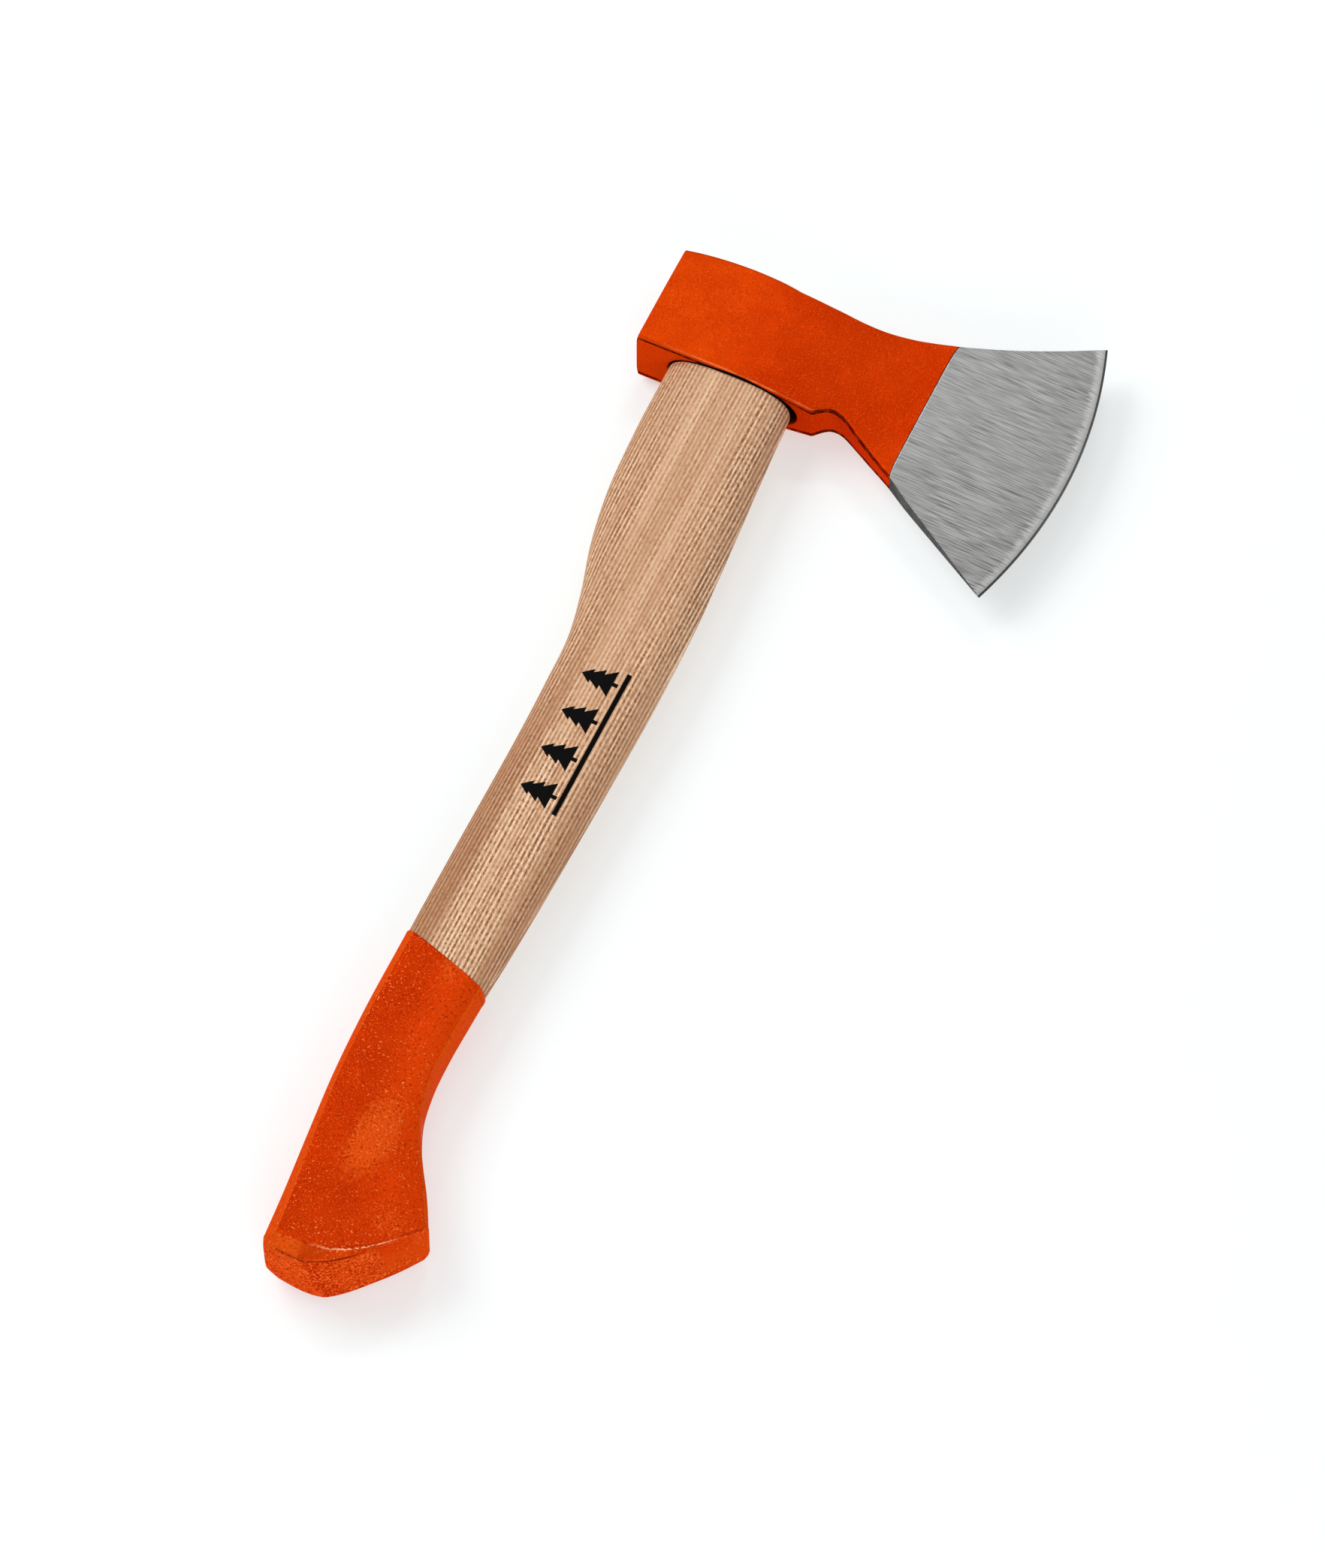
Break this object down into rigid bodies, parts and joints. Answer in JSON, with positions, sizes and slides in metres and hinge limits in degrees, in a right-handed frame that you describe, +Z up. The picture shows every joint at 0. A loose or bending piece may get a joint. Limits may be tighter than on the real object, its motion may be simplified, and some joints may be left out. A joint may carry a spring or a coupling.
{
  "type": "forestry hatchet",
  "caption": "Small forestry hatchet: flared forged bit, square poll, curved wooden handle wedged in the eye, paint-dipped grip ending in a slanted knob.",
  "frame": {"origin": "bottom centre of the bounding box, with the hatchet lying on its side", "axes": "+X towards the cutting edge, +Y along the handle towards the head, +Z up through the thickness"},
  "size_m": [0.151, 0.4264, 0.0297],
  "materials": {
    "head_steel": "orange enamel over forged steel, bit ground bright",
    "handle_wood": "smooth sanded beech",
    "wedge_wood": "cut end grain",
    "wedge_steel": "rolled steel, worn",
    "grip_paint": "thick dipped paint with an orange-peel surface"
  },
  "bodies": {
    "root": {"axe_head": "head_steel", "handle": "handle_wood", "wooden_wedge": "wedge_wood", "steel_wedge_rear": "wedge_steel", "steel_wedge_front": "wedge_steel", "grip_coating": "grip_paint"}
  },
  "joints": []
}
